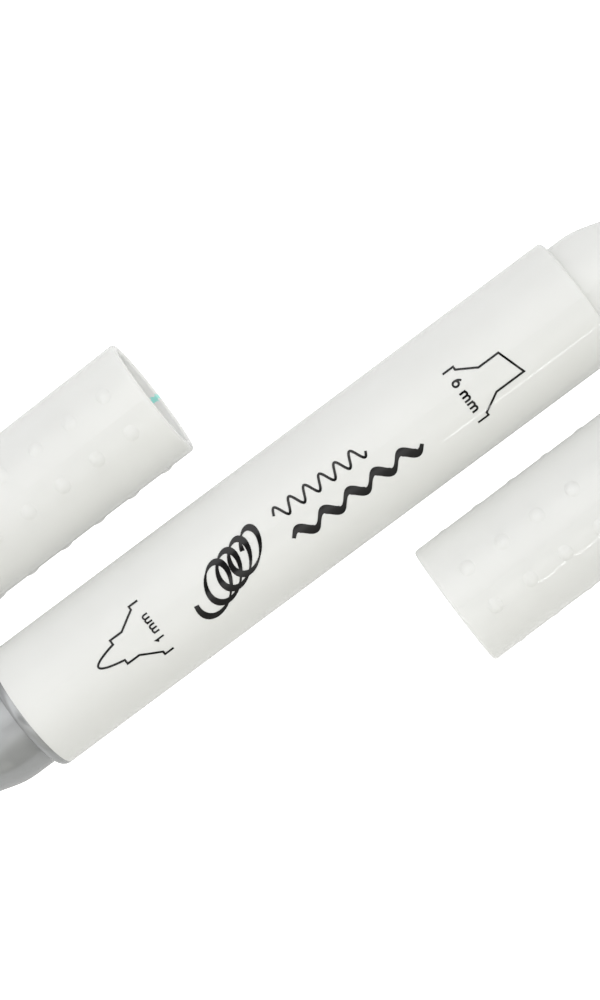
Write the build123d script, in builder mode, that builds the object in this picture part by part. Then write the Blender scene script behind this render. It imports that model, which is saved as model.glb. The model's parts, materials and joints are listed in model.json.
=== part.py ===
from build123d import *
import math
import os
from dataclasses import dataclass

# Twin-tip felt marker, lying on a flat surface with both caps pulled off and laid beside it.
# Frame: X runs along the barrel towards the broad tip, Z is up, and the origin is on the
# barrel's axis at the middle of its length. All sizes are millimetres.

# ---------------------------------------------------------------- driving dimensions
# Barrel: one moulding, open at the fine end, with the broad nose moulded on its other end
barrel_length = 78.2
barrel_radius = 7.77
barrel_bore_radius = 6.52
barrel_end_rounding = 0.4
shoulder_wall = 1.4
rib_count = 6
rib_width = 1.0
rib_tip_radius = 5.42
rib_root_sink = 0.3
rib_end_margin = 12.0

# Noses: a straight seat that the cap grips, a soft bend, a cone and a straight neck
seat_bend_radius = 10.0
neck_edge_rounding = 0.35
fine_flange_thickness = 1.2
fine_flange_rounding = 1.1
fine_seat_radius = 6.60
fine_seat_length = 4.3
fine_cone_angle = 16.5
fine_neck_radius = 3.7
fine_neck_length = 3.85
fine_skirt_length = 10.0
fine_skirt_wall = 1.0
broad_seat_radius = 6.68
broad_seat_length = 3.45
broad_cone_angle = 17.0
broad_neck_radius = 4.4
broad_neck_length = 1.5
nose_cavity_radius = 5.2
nose_cavity_depth = 4.5
vent_radius = 0.35
fine_vent_count = 4

# Nibs: pressed felt, pushed through the noses into the ink core
fine_nib_radius = 2.3
fine_nib_reach = 6.9
fine_nib_tip_radius = 0.5
broad_nib_width = 6.6
broad_nib_thickness = 3.8
broad_nib_corner = 0.9
broad_nib_reach = 7.4
broad_nib_slant = 2.4
broad_nib_bevel_length = 4.2
broad_nib_edge = 1.4
broad_nib_edge_rounding = 0.25
nib_fit_gap = 0.05
nib_depth_in_core = 4.0

# Ink core: fibre rod in a thin film
core_radius = 5.2
film_thickness = 0.12
film_gap = 0.02
core_end_gap = 2.5

# Caps: tapered shells with pairs of rows of small round bumps for grip
cap_length = 36.5
cap_mouth_rounding = 0.45
cap_end_rounding = 0.4
cap_seat_gap = 0.06
cap_seat_depth = 7.5
cap_mouth_lead_in = 0.25
cap_stop_ring_radius = 5.6
cap_stop_ring_width = 1.0
bump_radius = 0.95
bump_height = 0.2
bump_rim_drop = 0.05
bump_sink = 0.4
row_pair_count = 3
row_pair_spread = 40  # degrees between the two rows of a pair
bump_ring_count = 6
bump_first_ring = 3.95
bump_ring_pitch = 4.85

# Cap liners: soft cups whose lips seal on the nose's cone
liner_radius = 6.4
liner_inner_radius = 5.5
liner_lip_depth = 8.0
liner_floor_depth = 26.3
liner_floor_thickness = 1.0
liner_lip_rounding = 0.3

# End plugs: coloured discs with a hollow spigot, pressed into the closed ends of the caps
plug_head_radius = 6.6
plug_head_thickness = 1.2
plug_head_dish_radius = 5.4
plug_head_dish_depth = 0.3
plug_spigot_radius = 6.0
plug_spigot_wall = 1.0
plug_spigot_length = 6.0

push_fit_gap = 0.02
same_edge = 0.005  # edges nearer than this in place and radius are the same edge

# ---------------------------------------------------------------- places along the barrel
fine_end_x = -barrel_length / 2
broad_end_x = barrel_length / 2
cavity_end_x = broad_end_x - shoulder_wall

fine_seat_x = fine_end_x - fine_flange_thickness
fine_cone_x = fine_seat_x - fine_seat_length
fine_cone_length = (fine_seat_radius - fine_neck_radius) / math.tan(math.radians(fine_cone_angle))
fine_neck_x = fine_cone_x - fine_cone_length
fine_front_x = fine_neck_x - fine_neck_length

broad_cone_x = broad_end_x + broad_seat_length
broad_cone_length = (broad_seat_radius - broad_neck_radius) / math.tan(math.radians(broad_cone_angle))
broad_neck_x = broad_cone_x + broad_cone_length
broad_front_x = broad_neck_x + broad_neck_length
broad_cavity_x = broad_end_x + nose_cavity_depth

core_fine_x = fine_end_x + core_end_gap
core_broad_x = cavity_end_x - push_fit_gap
fine_nib_tip_x = fine_front_x - fine_nib_reach
fine_nib_tail_x = core_fine_x + nib_depth_in_core
broad_nib_tip_x = broad_front_x + broad_nib_reach
broad_nib_tail_x = core_broad_x - nib_depth_in_core

os.makedirs("parts", exist_ok=True)


def save(piece, node):
    """Label one finished piece and write it as its own file."""
    piece.label = node
    export_step(piece, f"parts/{node}.step")


def circle_of(part, radius):
    """The circular edges of one radius."""
    circles = part.edges().filter_by(GeomType.CIRCLE)
    return circles.filter_by(lambda e: abs(e.radius - radius) < same_edge)


def circle_at(part, x, radius):
    """The circular edges of a turned part at one place along X."""
    return circle_of(part, radius).filter_by(lambda e: abs(e.arc_center.X - x) < same_edge)


# ---------------------------------------------------------------- barrel with its broad nose
with BuildPart() as barrel:
    with BuildSketch(Plane.XZ):
        with BuildLine():
            Polyline(
                (fine_end_x, 0),
                (fine_end_x, barrel_radius),
                (broad_end_x, barrel_radius),
                (broad_end_x, broad_seat_radius),
                (broad_cone_x, broad_seat_radius),
                (broad_neck_x, broad_neck_radius),
                (broad_front_x, broad_neck_radius),
                (broad_front_x, 0),
                close=True,
            )
        make_face()
    revolve(axis=Axis.X)
    fillet(circle_at(barrel, broad_end_x, barrel_radius), barrel_end_rounding)
    fillet(circle_at(barrel, broad_cone_x, broad_seat_radius), seat_bend_radius)
    fillet(circle_at(barrel, broad_front_x, broad_neck_radius), neck_edge_rounding)
    # the bore that holds the ink core, and the hollow behind the nose
    with BuildSketch(Plane.XZ):
        with BuildLine():
            Polyline(
                (fine_end_x, 0),
                (fine_end_x, barrel_bore_radius),
                (cavity_end_x, barrel_bore_radius),
                (cavity_end_x, nose_cavity_radius),
                (broad_cavity_x, nose_cavity_radius),
                (broad_cavity_x, 0),
                close=True,
            )
        make_face()
    revolve(axis=Axis.X, mode=Mode.SUBTRACT)
    # the flat slot for the broad nib, with an air vent along each wide side
    with BuildSketch(Plane.YZ.offset(broad_cavity_x)):
        RectangleRounded(
            broad_nib_width + 2 * nib_fit_gap,
            broad_nib_thickness + 2 * nib_fit_gap,
            broad_nib_corner + nib_fit_gap,
        )
        with Locations((0, broad_nib_thickness / 2), (0, -broad_nib_thickness / 2)):
            Circle(vent_radius)
    extrude(amount=broad_front_x - broad_cavity_x, mode=Mode.SUBTRACT)
    # ribs that hold the ink core off the wall and let air pass
    rib_outer_radius = barrel_bore_radius + rib_root_sink
    rib_start_x = fine_end_x + rib_end_margin
    with BuildSketch(Plane.YZ.offset(rib_start_x)):
        with PolarLocations((rib_tip_radius + rib_outer_radius) / 2, rib_count):
            Rectangle(rib_outer_radius - rib_tip_radius, rib_width)
    extrude(amount=cavity_end_x - rib_start_x)

# ---------------------------------------------------------------- fine nose
with BuildPart() as fine_nose:
    skirt_end_x = fine_end_x + fine_skirt_length
    with BuildSketch(Plane.XZ):
        with BuildLine():
            Polyline(
                (skirt_end_x, 0),
                (skirt_end_x, barrel_bore_radius - push_fit_gap),
                (fine_end_x, barrel_bore_radius - push_fit_gap),
                (fine_end_x, barrel_radius),
                (fine_seat_x, barrel_radius),
                (fine_seat_x, fine_seat_radius),
                (fine_cone_x, fine_seat_radius),
                (fine_neck_x, fine_neck_radius),
                (fine_front_x, fine_neck_radius),
                (fine_front_x, 0),
                close=True,
            )
        make_face()
    revolve(axis=Axis.X)
    fillet(circle_at(fine_nose, fine_seat_x, barrel_radius), fine_flange_rounding)
    fillet(circle_at(fine_nose, fine_cone_x, fine_seat_radius), seat_bend_radius)
    fillet(circle_at(fine_nose, fine_front_x, fine_neck_radius), neck_edge_rounding)
    # the skirt is a thin ring round the core, and the nose is hollow behind the nib's bore
    with BuildSketch(Plane.XZ):
        with BuildLine():
            Polyline(
                (skirt_end_x, 0),
                (skirt_end_x, barrel_bore_radius - push_fit_gap - fine_skirt_wall),
                (fine_end_x, barrel_bore_radius - push_fit_gap - fine_skirt_wall),
                (fine_end_x, nose_cavity_radius),
                (fine_seat_x - nose_cavity_depth, nose_cavity_radius),
                (fine_seat_x - nose_cavity_depth, 0),
                close=True,
            )
        make_face()
    revolve(axis=Axis.X, mode=Mode.SUBTRACT)
    # the nib's bore with its ring of air vents
    with BuildSketch(Plane.YZ.offset(fine_front_x)):
        Circle(fine_nib_radius + nib_fit_gap)
        with PolarLocations(fine_nib_radius, fine_vent_count, start_angle=45):
            Circle(vent_radius)
    extrude(amount=fine_seat_x - nose_cavity_depth - fine_front_x, mode=Mode.SUBTRACT)

# ---------------------------------------------------------------- nibs
with BuildPart() as fine_nib:
    with BuildSketch(Plane.XZ):
        with BuildLine():
            shank = Polyline(
                (fine_nib_tip_x, 0),
                (fine_nib_tail_x, 0),
                (fine_nib_tail_x, fine_nib_radius),
                (fine_front_x, fine_nib_radius),
            )
            # the bullet leaves the shank smoothly and closes in a small round point
            point_start = (
                fine_nib_tip_x + fine_nib_tip_radius / 2,
                fine_nib_tip_radius * math.sin(math.radians(60)),
            )
            TangentArc(shank @ 1, point_start, tangent=(-1, 0))
            RadiusArc(point_start, (fine_nib_tip_x, 0), -fine_nib_tip_radius)
        make_face()
    revolve(axis=Axis.X)

with BuildPart() as broad_nib:
    with BuildSketch(Plane.YZ.offset(broad_nib_tail_x)):
        RectangleRounded(broad_nib_width, broad_nib_thickness, broad_nib_corner)
    extrude(amount=broad_nib_tip_x - broad_nib_tail_x)
    # seen from above, the writing edge is slanted
    with BuildSketch(Plane.XY):
        with BuildLine():
            Polyline(
                (broad_nib_tail_x, -broad_nib_width / 2),
                (broad_nib_tip_x, -broad_nib_width / 2),
                (broad_nib_tip_x - broad_nib_slant, broad_nib_width / 2),
                (broad_nib_tail_x, broad_nib_width / 2),
                close=True,
            )
        make_face()
    extrude(amount=broad_nib_thickness, both=True, mode=Mode.INTERSECT)
    # seen from the side, both wide faces lean in to the writing edge
    bevel_x = broad_nib_tip_x - broad_nib_bevel_length
    with BuildSketch(Plane.XZ):
        with BuildLine():
            Polyline(
                (broad_nib_tail_x, -broad_nib_thickness / 2),
                (bevel_x, -broad_nib_thickness / 2),
                (broad_nib_tip_x, -broad_nib_edge / 2),
                (broad_nib_tip_x, broad_nib_edge / 2),
                (bevel_x, broad_nib_thickness / 2),
                (broad_nib_tail_x, broad_nib_thickness / 2),
                close=True,
            )
        make_face()
    extrude(amount=broad_nib_width, both=True, mode=Mode.INTERSECT)
    writing_face = broad_nib.faces().sort_by(Axis.X)[-1]
    fillet(writing_face.edges(), broad_nib_edge_rounding)

# ---------------------------------------------------------------- ink core and its film
with BuildPart() as ink_core:
    with BuildSketch(Plane.YZ.offset(core_fine_x)):
        Circle(core_radius)
    extrude(amount=core_broad_x - core_fine_x)
    with BuildSketch(Plane.YZ.offset(core_fine_x)):
        Circle(fine_nib_radius + nib_fit_gap)
    extrude(amount=nib_depth_in_core + nib_fit_gap, mode=Mode.SUBTRACT)
    with BuildSketch(Plane.YZ.offset(core_broad_x)):
        RectangleRounded(
            broad_nib_width + 2 * nib_fit_gap,
            broad_nib_thickness + 2 * nib_fit_gap,
            broad_nib_corner + nib_fit_gap,
        )
    extrude(amount=-(nib_depth_in_core + nib_fit_gap), mode=Mode.SUBTRACT)

with BuildPart() as core_film:
    with BuildSketch(Plane.YZ.offset(core_fine_x)):
        Circle(core_radius + film_gap + film_thickness)
        Circle(core_radius + film_gap, mode=Mode.SUBTRACT)
    extrude(amount=core_broad_x - core_fine_x)

save(barrel.part, "barrel")
save(fine_nose.part, "fine_nose")
save(fine_nib.part, "fine_nib")
save(broad_nib.part, "broad_nib")
save(ink_core.part, "ink_core")
save(core_film.part, "core_film")


# ---------------------------------------------------------------- caps
@dataclass
class Cap:
    """One cap, where it lies, and the sizes in which the two caps differ."""

    name: str
    mouth_x: float
    mouth_y: float
    heading: float  # degrees about Z from +X to the way the closed end points
    mouth_radius: float
    taper: float  # degrees that the outside leans in towards the closed end
    seat_radius: float  # of the nose that the cap fits
    first_pair: float  # degrees from straight up to the middle of the first pair of bump rows

    def radius_at(self, depth):
        return self.mouth_radius - depth * math.tan(math.radians(self.taper))

    def row_angles(self):
        middles = [self.first_pair + pair * 360 / row_pair_count for pair in range(row_pair_count)]
        return [middle + side * row_pair_spread / 2 for middle in middles for side in (-1, 1)]

    def axis_height(self):
        """Height of the axis when the wide mouth touches the surface that the barrel lies on."""
        return self.mouth_radius - barrel_radius

    def direction(self):
        turn = math.radians(self.heading)
        return Vector(math.cos(turn), math.sin(turn), 0)

    def mouth(self):
        return Vector(self.mouth_x, self.mouth_y, self.axis_height())

    def axis(self):
        return Axis(self.mouth(), self.direction())

    def section_plane(self):
        """Upright plane through the axis: x is the depth from the mouth, y is the radius."""
        return Plane(self.mouth(), x_dir=self.direction(), z_dir=self.direction().cross(Vector(0, 0, 1)))

    def bump_places(self):
        """One place on the outside for each bump, with z pointing away from the axis."""
        places = []
        for angle in self.row_angles():
            outward = Vector(0, 0, 1).rotate(Axis((0, 0, 0), self.direction()), -angle)
            for ring in range(bump_ring_count):
                depth = bump_first_ring + ring * bump_ring_pitch
                foot = self.mouth() + self.direction() * depth + outward * self.radius_at(depth)
                places.append(Plane(foot, x_dir=self.direction(), z_dir=outward).location)
        return places


fine_cap_place = Cap(
    name="fine_cap",
    mouth_x=-6.45,
    mouth_y=20.1,
    heading=180.8,
    mouth_radius=7.6,
    taper=0.3,
    seat_radius=fine_seat_radius,
    first_pair=-3.6,
)
broad_cap_place = Cap(
    name="broad_cap",
    mouth_x=6.75,
    mouth_y=-19.6,
    heading=0.4,
    mouth_radius=7.7,
    taper=0.2,
    seat_radius=broad_seat_radius,
    first_pair=3.8,
)

# one bump: a flat dome on a stub that sinks into the cap's wall
with BuildPart() as bump:
    dome_height = bump_height + bump_rim_drop
    dome_radius = (bump_radius**2 + dome_height**2) / (2 * dome_height)
    with BuildSketch(Plane.XZ):
        with BuildLine():
            stub = Polyline(
                (0, bump_height),
                (0, -bump_sink),
                (bump_radius, -bump_sink),
                (bump_radius, -bump_rim_drop),
            )
            RadiusArc(stub @ 1, stub @ 0, -dome_radius)
        make_face()
    revolve(axis=Axis.Z)


def cap_shell(cap):
    """The cap's outer shell: a tube with a stop ring inside and a recess for the end plug."""
    ring_start = liner_floor_depth + liner_floor_thickness + push_fit_gap
    ring_end = ring_start + cap_stop_ring_width
    head_start = cap_length - plug_head_thickness
    seat_bore = cap.seat_radius + cap_seat_gap
    liner_bore = liner_radius + push_fit_gap
    plug_bore = plug_spigot_radius + push_fit_gap
    head_bore = plug_head_radius + push_fit_gap
    with BuildPart() as shell:
        with BuildSketch(cap.section_plane()):
            with BuildLine():
                Polyline(
                    (0, seat_bore + cap_mouth_lead_in),
                    (0, cap.mouth_radius),
                    (cap_length, cap.radius_at(cap_length)),
                    (cap_length, head_bore),
                    (head_start, head_bore),
                    (head_start, plug_bore),
                    (ring_end, plug_bore),
                    (ring_end, cap_stop_ring_radius),
                    (ring_start, cap_stop_ring_radius),
                    (ring_start, liner_bore),
                    (cap_seat_depth, liner_bore),
                    (cap_seat_depth, seat_bore),
                    (cap_mouth_lead_in, seat_bore),
                    close=True,
                )
            make_face()
        revolve(axis=cap.axis())
        fillet(circle_of(shell, cap.mouth_radius), cap_mouth_rounding)
        fillet(circle_of(shell, cap.radius_at(cap_length)), cap_end_rounding)
        with Locations(*cap.bump_places()):
            add(bump.part)
    return shell.part


def cap_liner(cap):
    """The soft cup inside the cap that keeps the nib from drying."""
    floor_end = liner_floor_depth + liner_floor_thickness
    with BuildPart() as liner:
        with BuildSketch(cap.section_plane()):
            with BuildLine():
                Polyline(
                    (liner_lip_depth, liner_inner_radius),
                    (liner_lip_depth, liner_radius),
                    (floor_end, liner_radius),
                    (floor_end, 0),
                    (liner_floor_depth, 0),
                    (liner_floor_depth, liner_inner_radius),
                    close=True,
                )
            make_face()
        revolve(axis=cap.axis())
        lip = liner.edges().filter_by(GeomType.CIRCLE).sort_by(cap.axis())[0:2]
        fillet(lip, liner_lip_rounding)
    return liner.part


def cap_plug(cap):
    """The coloured disc that closes the cap's end, with a hollow spigot behind it."""
    head_start = cap_length - plug_head_thickness
    spigot_start = head_start - plug_spigot_length
    dish_floor = cap_length - plug_head_dish_depth
    with BuildPart() as plug:
        with BuildSketch(cap.section_plane()):
            with BuildLine():
                Polyline(
                    (spigot_start, plug_spigot_radius - plug_spigot_wall),
                    (spigot_start, plug_spigot_radius),
                    (head_start, plug_spigot_radius),
                    (head_start, plug_head_radius),
                    (cap_length, plug_head_radius),
                    (cap_length, plug_head_dish_radius),
                    (dish_floor, plug_head_dish_radius - plug_head_dish_depth),
                    (dish_floor, 0),
                    (head_start, 0),
                    (head_start, plug_spigot_radius - plug_spigot_wall),
                    close=True,
                )
            make_face()
        revolve(axis=cap.axis())
    return plug.part


for cap in (fine_cap_place, broad_cap_place):
    save(cap_shell(cap), cap.name)
    save(cap_liner(cap), f"{cap.name}_liner")
    save(cap_plug(cap), f"{cap.name}_plug")
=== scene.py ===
import json
import math

import bmesh
import bpy
from mathutils import Matrix, Vector


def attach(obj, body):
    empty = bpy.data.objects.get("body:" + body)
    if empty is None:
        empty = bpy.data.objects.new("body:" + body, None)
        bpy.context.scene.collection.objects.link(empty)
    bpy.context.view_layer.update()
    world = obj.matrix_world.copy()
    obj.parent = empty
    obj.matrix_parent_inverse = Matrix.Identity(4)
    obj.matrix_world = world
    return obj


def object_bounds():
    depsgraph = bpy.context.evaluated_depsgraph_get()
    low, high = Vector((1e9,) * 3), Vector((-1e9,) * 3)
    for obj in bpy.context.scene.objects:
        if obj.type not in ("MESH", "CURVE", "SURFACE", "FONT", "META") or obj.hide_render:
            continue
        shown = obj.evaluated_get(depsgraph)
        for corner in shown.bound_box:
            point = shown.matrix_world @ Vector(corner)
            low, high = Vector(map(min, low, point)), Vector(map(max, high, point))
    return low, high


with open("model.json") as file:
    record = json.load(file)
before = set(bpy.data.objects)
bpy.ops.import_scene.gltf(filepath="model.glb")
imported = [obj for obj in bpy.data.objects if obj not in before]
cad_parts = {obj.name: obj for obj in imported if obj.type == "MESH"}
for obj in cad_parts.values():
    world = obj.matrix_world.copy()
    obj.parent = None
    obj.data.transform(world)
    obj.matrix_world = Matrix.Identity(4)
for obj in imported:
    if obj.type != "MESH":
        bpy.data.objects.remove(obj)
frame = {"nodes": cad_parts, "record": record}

MM = 0.001
cad_box = [list(corner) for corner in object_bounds()]

# ------------------------------------------------------------------ sizes from the frame
mounts = {mount["name"]: mount for mount in frame["record"]["mounts"]}
openings = {opening["name"]: opening["box_m"] for opening in frame["record"]["physics"]["openings"]}

barrel_radius = mounts["barrel_grip"]["dims"]["r_mm"] * MM
floor_height = cad_box[0][2]


def mouth_centre(opening, faces_broad_end):
    """Middle of a cap's mouth, from the box of its opening."""
    low, high = openings[opening]
    mouth_side = high if faces_broad_end else low
    return Vector((mouth_side[0], (low[1] + high[1]) / 2, (low[2] + high[2]) / 2))


fine_mouth = mouth_centre("fine_cap_mouth", True)
broad_mouth = mouth_centre("broad_cap_mouth", False)

# ------------------------------------------------------------------ camera and light
# The camera looks down on the marker from 295 mm above its axis, a little past the middle
# towards the broad end, and is turned so that the marker runs from lower left to upper right.
VIEW_TURN = math.radians(-36.66)
CAMERA_HEIGHT = 295 * MM
CAMERA_FOOT = Vector((16.4 * MM, 2.0 * MM, 0))
CAMERA_AIM = Vector((-0.12 * MM, 0.63 * MM, 0))
LENS = 93.2
SENSOR_WIDTH = 36

# Brightness of the white studio round the marker's axis: angle from straight up in degrees,
# positive towards the broad cap's side, and strength. A darker gap straight above, where the
# camera hangs, parts two bright strips. Above the fine end the gap is closed.
STUDIO = [
    (-80, 0.30), (-68, 0.27), (-60, 0.36), (-52, 0.80), (-44, 1.70), (-36, 1.92), (-28, 2.05), (-8, 1.85),
    (-4.5, 0.18), (20.5, 0.16), (24, 1.73), (31, 1.85), (37, 0.95), (56, 0.44), (60, 0.66), (76, 0.86),
    (84, 0.40),
]
FINE_END_STUDIO = [
    (-80, 0.37), (-68, 0.28), (-60, 0.32), (-52, 0.68), (-44, 1.56), (-36, 1.88), (-28, 1.95), (-8, 2.00),
    (0, 2.00), (14, 1.90), (24, 1.70), (30, 1.10), (40, 0.60), (56, 0.35), (60, 0.30), (76, 0.30), (84, 0.30),
]
# how much of FINE_END_STUDIO there is, by the direction's part along the marker
FINE_END_SHARE = [(-0.32, 0.0), (-0.25, 1.0), (-0.17, 1.0), (-0.12, 0.0)]
# the light is a little warmer low down on the broad cap's side
STUDIO_TINT = [(20, (1.0, 1.0, 0.995)), (50, (1.0, 0.995, 0.90))]
# the table below the marker, which the camera sees as a plain white ground
TABLE_SIZE = 12
TABLE_TONE = 0.70
TABLE_GLOW = 0.20
TABLE_ROUGHNESS = 0.9
# a small lamp whose reflection draws the thin bright line along the broad end of the barrel
LAMP_PLACE = Vector((42.5 * MM, -249 * MM, 168 * MM))
LAMP_SIZE = (50 * MM, 16 * MM)
LAMP_POWER = 0.030


def make_camera():
    data = bpy.data.cameras.new("camera")
    data.lens = LENS
    data.sensor_width = SENSOR_WIDTH
    data.clip_start = 0.01
    data.clip_end = 10
    camera = bpy.data.objects.new("camera", data)
    bpy.context.scene.collection.objects.link(camera)
    place = CAMERA_FOOT + Vector((0, 0, CAMERA_HEIGHT))
    back = (place - CAMERA_AIM).normalized()
    right = Vector((math.cos(VIEW_TURN), math.sin(VIEW_TURN), 0))
    right = (right - back * right.dot(back)).normalized()
    up = back.cross(right)
    turn = Matrix((right, up, back)).transposed().to_4x4()
    camera.matrix_world = Matrix.Translation(place) @ turn
    bpy.context.scene.camera = camera


def ramp(tree, value, stops):
    """Colour by value, from stops that give a place from 0 to 1 and a colour or a grey."""
    node = tree.nodes.new("ShaderNodeValToRGB")
    elements = node.color_ramp.elements
    while len(elements) < len(stops):
        elements.new(0.5)
    for element, (place, colour) in zip(elements, stops):
        element.position = place
        element.color = (*colour, 1) if isinstance(colour, tuple) else (colour, colour, colour, 1)
    tree.links.new(value, node.inputs["Fac"])
    return node.outputs["Color"]


def angle_place(degrees):
    """Place on a ramp of an angle from straight up."""
    return (degrees + 90) / 180


def studio_strength(tree, angle_share, stops):
    """Strength by angle, from a ramp whose stops are scaled to its brightest one."""
    top = max(strength for _, strength in stops)
    gain = tree.nodes.new("ShaderNodeMath")
    gain.operation = "MULTIPLY"
    gain.inputs[1].default_value = top
    scaled = [(angle_place(degrees), strength / top) for degrees, strength in stops]
    tree.links.new(ramp(tree, angle_share, scaled), gain.inputs[0])
    return gain.outputs[0]


def make_world():
    """The white studio: light by the angle round the marker's axis and by the direction along it."""
    world = bpy.data.worlds.new("studio")
    world.use_nodes = True
    tree = world.node_tree
    background = tree.nodes["Background"]
    coordinates = tree.nodes.new("ShaderNodeTexCoord")
    parts = tree.nodes.new("ShaderNodeSeparateXYZ")
    tree.links.new(coordinates.outputs["Generated"], parts.inputs[0])

    angle = tree.nodes.new("ShaderNodeMath")
    angle.operation = "ARCTAN2"
    tree.links.new(parts.outputs["Y"], angle.inputs[0])
    tree.links.new(parts.outputs["Z"], angle.inputs[1])
    angle_share = tree.nodes.new("ShaderNodeMapRange")
    angle_share.inputs["From Min"].default_value = math.pi / 2
    angle_share.inputs["From Max"].default_value = -math.pi / 2
    tree.links.new(angle.outputs[0], angle_share.inputs["Value"])
    along = tree.nodes.new("ShaderNodeMapRange")
    along.inputs["From Min"].default_value = -1
    tree.links.new(parts.outputs["X"], along.inputs["Value"])

    mix = tree.nodes.new("ShaderNodeMix")
    shares = [((place + 1) / 2, share) for place, share in FINE_END_SHARE]
    fine_end = ramp(tree, along.outputs["Result"], shares)
    tree.links.new(fine_end, mix.inputs[0])
    for socket, stops in ((mix.inputs[2], STUDIO), (mix.inputs[3], FINE_END_STUDIO)):
        tree.links.new(studio_strength(tree, angle_share.outputs["Result"], stops), socket)
    tree.links.new(mix.outputs[0], background.inputs["Strength"])
    tints = [(angle_place(degrees), colour) for degrees, colour in STUDIO_TINT]
    tint = ramp(tree, angle_share.outputs["Result"], tints)
    tree.links.new(tint, background.inputs["Color"])
    bpy.context.scene.world = world
    bpy.context.scene.view_settings.view_transform = "Standard"


def sheet(name, colour, roughness, glow):
    bpy.ops.mesh.primitive_plane_add(size=TABLE_SIZE, location=(0, 0, floor_height))
    floor = bpy.context.object
    floor.name = name
    material = bpy.data.materials.new(name)
    material.use_nodes = True
    shader = material.node_tree.nodes["Principled BSDF"]
    shader.inputs["Base Color"].default_value = (*colour, 1)
    shader.inputs["Roughness"].default_value = roughness
    shader.inputs["Specular IOR Level"].default_value = 0.0
    shader.inputs["Emission Color"].default_value = (1, 1, 1, 1)
    shader.inputs["Emission Strength"].default_value = glow
    floor.data.materials.append(material)
    return floor


def make_ground():
    """The camera sees a plain white ground. The light that comes off the table is made by a second,
    duller sheet in the same place."""
    ground = sheet("ground", (1, 1, 1), 0.0, 1.0)
    table = sheet("table", (TABLE_TONE, TABLE_TONE, TABLE_TONE), TABLE_ROUGHNESS, TABLE_GLOW)
    for kind in ("diffuse", "glossy", "transmission", "volume_scatter", "shadow"):
        setattr(ground, "visible_" + kind, False)
    table.visible_camera = False


def make_lamp():
    data = bpy.data.lights.new("line_lamp", "AREA")
    data.shape = "RECTANGLE"
    data.size, data.size_y = LAMP_SIZE
    data.energy = LAMP_POWER
    lamp = bpy.data.objects.new("line_lamp", data)
    along = Vector((1, 0, 0))
    away = Vector((0, LAMP_PLACE.y, LAMP_PLACE.z)).normalized()
    turn = Matrix((along, away.cross(along), away)).transposed().to_4x4()
    lamp.matrix_world = Matrix.Translation(LAMP_PLACE) @ turn
    lamp.visible_camera = False
    bpy.context.scene.collection.objects.link(lamp)


# ------------------------------------------------------------------ materials
class Finish:
    """A procedural material: the shader and some ways of driving it from the piece's coordinates."""

    def __init__(self, name, roughness=0.3, specular=0.5):
        self.material = bpy.data.materials.new(name)
        self.material.use_nodes = True
        self.tree = self.material.node_tree
        self.shader = self.tree.nodes["Principled BSDF"]
        self.shader.inputs["Roughness"].default_value = roughness
        self.shader.inputs["Specular IOR Level"].default_value = specular
        self.coordinates = self.tree.nodes.new("ShaderNodeTexCoord").outputs["Object"]

    def link(self, source, target):
        self.tree.links.new(source, target)
        return target

    def placed(self, stretch=(1, 1, 1), shift=(0, 0, 0)):
        mapping = self.tree.nodes.new("ShaderNodeMapping")
        mapping.inputs["Scale"].default_value = stretch
        mapping.inputs["Location"].default_value = shift
        self.link(self.coordinates, mapping.inputs["Vector"])
        return mapping.outputs["Vector"]

    def noise(self, scale, detail=2.0, stretch=(1, 1, 1), rough=0.5):
        noise = self.tree.nodes.new("ShaderNodeTexNoise")
        noise.inputs["Scale"].default_value = scale
        noise.inputs["Detail"].default_value = detail
        noise.inputs["Roughness"].default_value = rough
        self.link(self.placed(stretch), noise.inputs["Vector"])
        return noise.outputs["Fac"]

    def spread(self, value, low, high, start=0.35, end=0.65):
        out = self.tree.nodes.new("ShaderNodeMapRange")
        out.inputs["From Min"].default_value = start
        out.inputs["From Max"].default_value = end
        out.inputs["To Min"].default_value = low
        out.inputs["To Max"].default_value = high
        self.link(value, out.inputs["Value"])
        return out.outputs["Result"]

    def blend(self, value, first, second):
        mix = self.tree.nodes.new("ShaderNodeMix")
        mix.data_type = "RGBA"
        self.link(value, mix.inputs["Factor"])
        for socket, colour in ((mix.inputs[6], first), (mix.inputs[7], second)):
            if isinstance(colour, tuple):
                socket.default_value = (*colour, 1)
            else:
                self.link(colour, socket)
        return mix.outputs[2]

    def mottle(self, scale, first, second):
        """Two near colours mixed in soft patches."""
        return self.blend(self.spread(self.noise(scale, 3), 0, 1), first, second)

    def arithmetic(self, operation, first, second):
        out = self.tree.nodes.new("ShaderNodeMath")
        out.operation = operation
        for socket, value in zip(out.inputs, (first, second)):
            if isinstance(value, (int, float)):
                socket.default_value = value
            else:
                self.link(value, socket)
        return out.outputs[0]

    def region(self, centre, reach):
        """Squared distance from a place, with 1 at the edge of the ellipsoid that reach gives."""
        stretch = tuple(1 / r for r in reach)
        parts = self.tree.nodes.new("ShaderNodeSeparateXYZ")
        self.link(self.placed(stretch, tuple(-c * k for c, k in zip(centre, stretch))), parts.inputs[0])
        squares = [self.arithmetic("MULTIPLY", parts.outputs[i], parts.outputs[i]) for i in range(3)]
        return self.arithmetic("ADD", self.arithmetic("ADD", squares[0], squares[1]), squares[2])

    def colour(self, value):
        self.link(value, self.shader.inputs["Base Color"])

    def roughness(self, value):
        self.link(value, self.shader.inputs["Roughness"])

    def translucent(self, weight, depth):
        """Lets light spread under the surface as far as depth."""
        self.shader.inputs["Subsurface Weight"].default_value = weight
        self.shader.inputs["Subsurface Radius"].default_value = (1, 1, 1)
        self.shader.inputs["Subsurface Scale"].default_value = depth

    def relief(self, height, depth, strength=1.0):
        bump = self.tree.nodes.new("ShaderNodeBump")
        bump.inputs["Strength"].default_value = strength
        bump.inputs["Distance"].default_value = depth
        self.link(height, bump.inputs["Height"])
        self.link(bump.outputs["Normal"], self.shader.inputs["Normal"])


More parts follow.
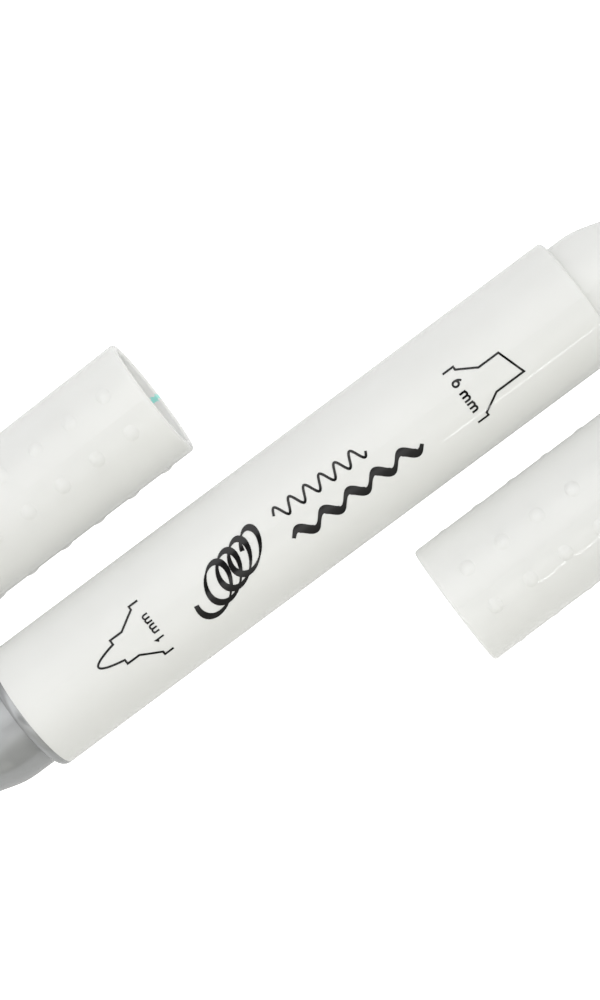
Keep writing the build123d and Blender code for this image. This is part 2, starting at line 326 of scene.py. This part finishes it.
WHITE = (0.800, 0.804, 0.790)
WHITE_SHADE = (0.785, 0.789, 0.774)
# the caps' thinner walls let light spread further than the barrel does
BARREL_WALL = dict(gleam=0.16, weight=0.3, depth=0.5 * MM)
CAP_WALL = dict(gleam=0.22, weight=0.6, depth=1.4 * MM)
# painted light: inside a cap's mouth the plastic is painted a brighter white, a painted glow that stands in
# for the light that comes through the wall
PAINTED_MOUTH_GLOW = (0.965, 0.967, 0.945)
PAINTED_GLOW_REACH = (14 * MM, 7.0 * MM, 7.0 * MM)
# a small smear of ink just inside the fine cap's mouth, at the bottom
SMEAR_FROM_MOUTH = Vector((-0.60 * MM, 0.15 * MM, -6.75 * MM))
SMEAR_REACH = (0.72 * MM, 0.45 * MM, 0.55 * MM)
SMEAR_TINT = (0.42, 0.90, 0.83)


def white_plastic(name, gleam, weight, depth, mouth=None, smear=None):
    finish = Finish(name, specular=gleam)
    body = finish.mottle(90, WHITE, WHITE_SHADE)
    finish.roughness(finish.spread(finish.noise(350, 3), 0.03, 0.06))
    finish.translucent(weight, depth)
    if mouth:
        # painted glow: the plastic near the mouth is blended to a brighter white, standing in for light
        # through the wall
        inside = finish.spread(finish.region(mouth, PAINTED_GLOW_REACH), 1, 0, 0.98, 1.0)
        body = finish.blend(inside, body, PAINTED_MOUTH_GLOW)
    if smear:
        ragged = finish.spread(finish.noise(2600, 2), -0.6, 0.6)
        edge = finish.arithmetic("ADD", finish.region(smear, SMEAR_REACH), ragged)
        body = finish.blend(finish.spread(edge, 1, 0, 0.7, 1.15), body, SMEAR_TINT)
    finish.colour(body)
    finish.relief(finish.noise(160, 2), 0.02 * MM, 0.1)
    return finish.material


def grey_plastic():
    finish = Finish("grey_plastic", specular=0.2)
    finish.colour(finish.mottle(120, (0.375, 0.382, 0.388), (0.358, 0.366, 0.370)))
    finish.shader.inputs["Metallic"].default_value = 0.36
    finish.roughness(finish.spread(finish.noise(700, 3), 0.18, 0.25))
    finish.relief(finish.noise(5200, 2), 0.004 * MM, 0.5)
    return finish.material


def liner_plastic():
    finish = Finish("liner_plastic", specular=0.35)
    finish.colour(finish.mottle(180, (0.70, 0.72, 0.70), (0.64, 0.67, 0.66)))
    finish.roughness(finish.spread(finish.noise(500, 2), 0.38, 0.52))
    finish.translucent(0.25, 0.6 * MM)
    return finish.material


def ink_plastic():
    finish = Finish("ink_colour_plastic", specular=0.5)
    finish.colour(finish.mottle(150, (0.006, 0.235, 0.270), (0.008, 0.270, 0.305)))
    finish.roughness(finish.spread(finish.noise(600, 2), 0.18, 0.30))
    finish.relief(finish.noise(260, 2), 0.02 * MM, 0.4)
    return finish.material


def nib_felt():
    finish = Finish("nib_felt", specular=0.15)
    fibres = finish.noise(2600, 5, (0.22, 1, 1), 0.7)
    clumps = finish.noise(500, 3)
    most, rest = finish.arithmetic("MULTIPLY", fibres, 0.7), finish.arithmetic("MULTIPLY", clumps, 0.3)
    tone = finish.spread(finish.arithmetic("ADD", most, rest), 0, 1, 0.38, 0.62)
    finish.colour(finish.blend(tone, (0.004, 0.165, 0.195), (0.020, 0.330, 0.350)))
    finish.roughness(finish.spread(clumps, 0.55, 0.85))
    finish.relief(fibres, 0.06 * MM, 0.8)
    return finish.material


def core_fibre():
    finish = Finish("core_fibre", specular=0.15)
    fibres = finish.noise(1800, 4, (0.05, 1, 1), 0.7)
    tone = finish.spread(fibres, 0, 1, 0.38, 0.62)
    finish.colour(finish.blend(tone, (0.006, 0.180, 0.210), (0.030, 0.330, 0.360)))
    finish.roughness(finish.spread(fibres, 0.6, 0.9))
    finish.relief(fibres, 0.08 * MM, 0.9)
    return finish.material


def core_film():
    finish = Finish("core_film", specular=0.5)
    creases = finish.noise(320, 2, (0.35, 1, 1))
    finish.colour(finish.blend(finish.spread(creases, 0, 1), (0.86, 0.89, 0.89), (0.74, 0.80, 0.80)))
    finish.roughness(finish.spread(creases, 0.08, 0.22))
    finish.shader.inputs["Transmission Weight"].default_value = 0.6
    finish.relief(creases, 0.05 * MM, 0.6)
    return finish.material


def print_ink():
    finish = Finish("print_ink", specular=0.36)
    finish.colour(finish.mottle(1500, (0.0018, 0.0017, 0.0019), (0.0050, 0.0046, 0.0052)))
    finish.roughness(finish.spread(finish.noise(900, 2), 0.10, 0.16))
    return finish.material


def paint(node, material):
    mesh = frame["nodes"][node].data
    mesh.materials.clear()
    mesh.materials.append(material)


# ------------------------------------------------------------------ marks printed on the barrel
# Every mark is a thin layer of ink bent round the barrel. Its points are given as (x, v): x along the
# barrel and v round it from straight up, positive towards the fine cap's side, both in mm.
INK_RISE = 0.014 * MM
INK_RISE_MORE = 0.008 * MM  # the most that a later layer stands above the first
INK_SINK = 0.013 * MM
INK_STEP = 0.12  # most distance between points along a line
INK_ACROSS = 0.35  # and across it
LAYER_STEP = 0.1  # share of INK_RISE_MORE between one stroke of a word and the next
MITRE_LIMIT = 0.6  # keeps sharp corners from running out into long points

OUTLINE_STROKE = 0.25
FINE_MARK_BASE, FINE_MARK_CENTRE = -21.03, -0.90
BROAD_MARK_BASE, BROAD_MARK_CENTRE = 21.3, -1.06
FINE_WIDTH_TEXT = dict(base=-20.95, centre=FINE_MARK_CENTRE, height=1.10, stroke=0.21, away=-1)
BROAD_WIDTH_TEXT = dict(base=21.45, centre=BROAD_MARK_CENTRE, height=1.20, stroke=0.25, away=1)
THIN_WAVE = dict(start=-3.1, end=9.4, level=0.95, height=0.80, length=2.1)
THIN_WAVE_STROKE = 0.30
THICK_WAVE = dict(start=-2.8, end=14.9, level=-2.40, height=0.62, length=3.55)
THICK_WAVE_NIB = dict(degrees=55, thick=1.05, thin=0.35)
SCRIBBLE = dict(start=-15.8, end=-4.4, level=-1.9, slope=0.16, radius=2.55, turns=4)
SCRIBBLE_NIB = dict(degrees=40, thick=0.80, thin=0.20)
POINTS_PER_LOOP = 40


def on_barrel(x, v, rise):
    angle = v * MM / barrel_radius
    radius = barrel_radius + rise
    return Vector((x * MM, radius * math.sin(angle), radius * math.cos(angle)))


def close_up(points, closed):
    """The same line with a point at least every INK_STEP."""
    ends = points[1:] + (points[:1] if closed else [])
    out = [Vector(points[0])]
    for a, b in zip(points, ends):
        a, b = Vector(a), Vector(b)
        count = max(1, math.ceil((b - a).length / INK_STEP))
        out += [a.lerp(b, i / count) for i in range(1, count + 1)]
    return out[:-1] if closed else out


def band(mesh, points, width, closed=False, layer=0.0, climb=0.0):
    """A closed band of ink along a line. width is a function of the line's direction."""
    path = close_up(points, closed)
    count = len(path)
    widest = max(width(Vector((math.cos(a), math.sin(a)))) for a in (0, 0.8, 1.6, 2.4))
    across = max(2, math.ceil(widest / INK_ACROSS))
    rings = []
    for i, point in enumerate(path):
        before = path[i - 1] if i or closed else None
        after = path[(i + 1) % count] if i < count - 1 or closed else None
        ahead = (after - point).normalized() if after is not None else (point - before).normalized()
        behind = (point - before).normalized() if before is not None else ahead
        side = Vector((-ahead.y - behind.y, ahead.x + behind.x))
        side *= 2 / max(side.length_squared, MITRE_LIMIT)
        half = width((ahead + behind).normalized()) / 2
        rise = INK_RISE + INK_RISE_MORE * min(1.0, layer + climb * i / count)
        row = [point + side * half * (2 * j / across - 1) for j in range(across + 1)]
        rings.append([mesh.verts.new(on_barrel(q.x, q.y, rise)) for q in row]
                     + [mesh.verts.new(on_barrel(q.x, q.y, -INK_SINK)) for q in reversed(row)])
    size = len(rings[0])
    for a, b in zip(rings, rings[1:] + (rings[:1] if closed else [])):
        for k in range(size):
            mesh.faces.new((a[k], a[(k + 1) % size], b[(k + 1) % size], b[k]))
    if not closed:
        mesh.faces.new(rings[0])
        mesh.faces.new(rings[-1])


def even(stroke):
    """The same width in every direction."""
    return lambda direction: stroke


def nib_like(degrees, thick, thin):
    """The width that a slanted broad nib leaves along a line, by the line's direction."""
    nib = Vector((math.cos(math.radians(degrees)), math.sin(math.radians(degrees))))
    return lambda direction: thin + (thick - thin) * abs(direction.x * nib.y - direction.y * nib.x)


def printed(name, bands, material):
    mesh = bmesh.new()
    for options in bands:
        band(mesh, **options)
    bmesh.ops.recalc_face_normals(mesh, faces=mesh.faces)
    data = bpy.data.meshes.new(name)
    mesh.to_mesh(data)
    mesh.free()
    data.materials.append(material)
    piece = bpy.data.objects.new(name, data)
    bpy.context.scene.collection.objects.link(piece)
    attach(piece, "pen")


def arc(cx, cy, rx, ry, start, end, count=14):
    angles = [math.radians(start + (end - start) * i / count) for i in range(count + 1)]
    return [(cx + rx * math.cos(a), cy + ry * math.sin(a)) for a in angles]


# Plain upright characters one unit high: (lines, closed lines, width)
def letter_one():
    return [[(0.02, 0.74), (0.26, 0.97), (0.26, 0.0)]], [], 0.30


def letter_six():
    stem = arc(0.62, 0.36, 0.57, 0.66, 118, 180, 10)
    bowl = arc(0.32, 0.32, 0.27, 0.29, 0, 360, 22)[:-1]
    return [stem], [bowl], 0.64


def letter_m():
    lines = [[(0.06, 0.0), (0.06, 0.68)]]
    for left in (0.06, 0.50):
        arch = arc(left + 0.22, 0.43, 0.22, 0.22, 180, 0, 10)
        lines.append([(left, 0.40)] + arch + [(left + 0.44, 0.0)])
    return lines, [], 1.00


def lettering(letters, base, centre, height, stroke, away):
    """Characters set across the barrel. away is 1 when their tops point to the broad end, and -1 when
    they point to the fine end."""
    gap, space = 0.22, 0.42
    total = sum(space if letter is None else letter()[2] + gap for letter in letters) - gap
    bands, place, layer = [], 0.0, 0.0
    for letter in letters:
        if letter is None:
            place += space
            continue
        lines, rings, width = letter()
        for line, closed in [(line, False) for line in lines] + [(ring, True) for ring in rings]:
            points = [(base + away * y * height, centre - away * (place + x - total / 2) * height)
                      for x, y in line]
            bands.append(dict(points=points, width=even(stroke), closed=closed, layer=layer))
            layer += LAYER_STEP
        place += width + gap
    return bands


# The outline of each nib with its nose, printed next to its own end: (distance towards the tip,
# distance to the side)
def fine_outline():
    upper = [(0.0, 3.48), (1.19, 3.48), (1.19, 3.04), (3.48, 1.65), (5.10, 1.65), (5.10, 1.10)]
    point = [(5.10 + 2.85 * (1 - share ** 2), 1.10 * share) for share in (1 - i / 12 for i in range(1, 12))]
    half = upper + point
    return half + [(7.95, 0.0)] + [(u, -v) for u, v in reversed(half)]


def broad_outline():
    return [(0.0, 3.47), (1.43, 3.47), (1.43, 3.06), (3.64, 1.69), (6.36, 1.69), (7.44, -1.73),
            (3.64, -1.73), (1.43, -3.06), (1.43, -3.47), (0.0, -3.47)]


def wave(start, end, level, height, length):
    points, count = [], max(8, int((end - start) / INK_STEP))
    for i in range(count + 1):
        travel = (end - start) * i / count
        points.append((start + travel, level + height * math.sin(2 * math.pi * travel / length)))
    return points


def loops(start, end, level, slope, radius, turns):
    """A row of round loops that get smaller, like a pen being tried out."""
    points, count = [], turns * POINTS_PER_LOOP
    first, travel = start + radius * 0.7, end - start - radius * 1.6
    for i in range(count + 1):
        share = i / count
        angle = 2 * math.pi * turns * share + math.pi
        size = radius * (1 - 0.25 * share)
        lean = size * 0.8 * math.cos(angle) + 0.35 * size * math.sin(angle)
        points.append((first + travel * share + lean,
                       level + slope * share * (end - start) + size * math.sin(angle)))
    return points


def print_marks():
    ink = print_ink()
    outline = even(OUTLINE_STROKE)
    fine = [(FINE_MARK_BASE - u, FINE_MARK_CENTRE + v) for u, v in fine_outline()]
    printed("print_fine_outline", [dict(points=fine, width=outline)], ink)
    broad = [(BROAD_MARK_BASE + u, BROAD_MARK_CENTRE + v) for u, v in broad_outline()]
    printed("print_broad_outline", [dict(points=broad, width=outline)], ink)
    printed("print_fine_width", lettering([letter_one, None, letter_m, letter_m], **FINE_WIDTH_TEXT), ink)
    printed("print_broad_width", lettering([letter_six, None, letter_m, letter_m], **BROAD_WIDTH_TEXT), ink)
    printed("print_fine_sample", [dict(points=wave(**THIN_WAVE), width=even(THIN_WAVE_STROKE))], ink)
    printed("print_broad_sample", [dict(points=wave(**THICK_WAVE), width=nib_like(**THICK_WAVE_NIB))], ink)
    printed("print_scribble",
            [dict(points=loops(**SCRIBBLE), width=nib_like(**SCRIBBLE_NIB), climb=1.0)], ink)


make_camera()
make_world()
make_ground()
make_lamp()

liner = liner_plastic()
plug = ink_plastic()
felt = nib_felt()
paint("barrel", white_plastic("white_plastic", **BARREL_WALL))
paint("broad_cap", white_plastic("cap_white_plastic", mouth=broad_mouth, **CAP_WALL))
paint("fine_cap", white_plastic("cap_white_plastic_stained", mouth=fine_mouth,
                                smear=fine_mouth + SMEAR_FROM_MOUTH, **CAP_WALL))
paint("fine_nose", grey_plastic())
for end in ("fine", "broad"):
    paint(end + "_cap_liner", liner)
    paint(end + "_cap_plug", plug)
    paint(end + "_nib", felt)
paint("ink_core", core_fibre())
paint("core_film", core_film())
print_marks()
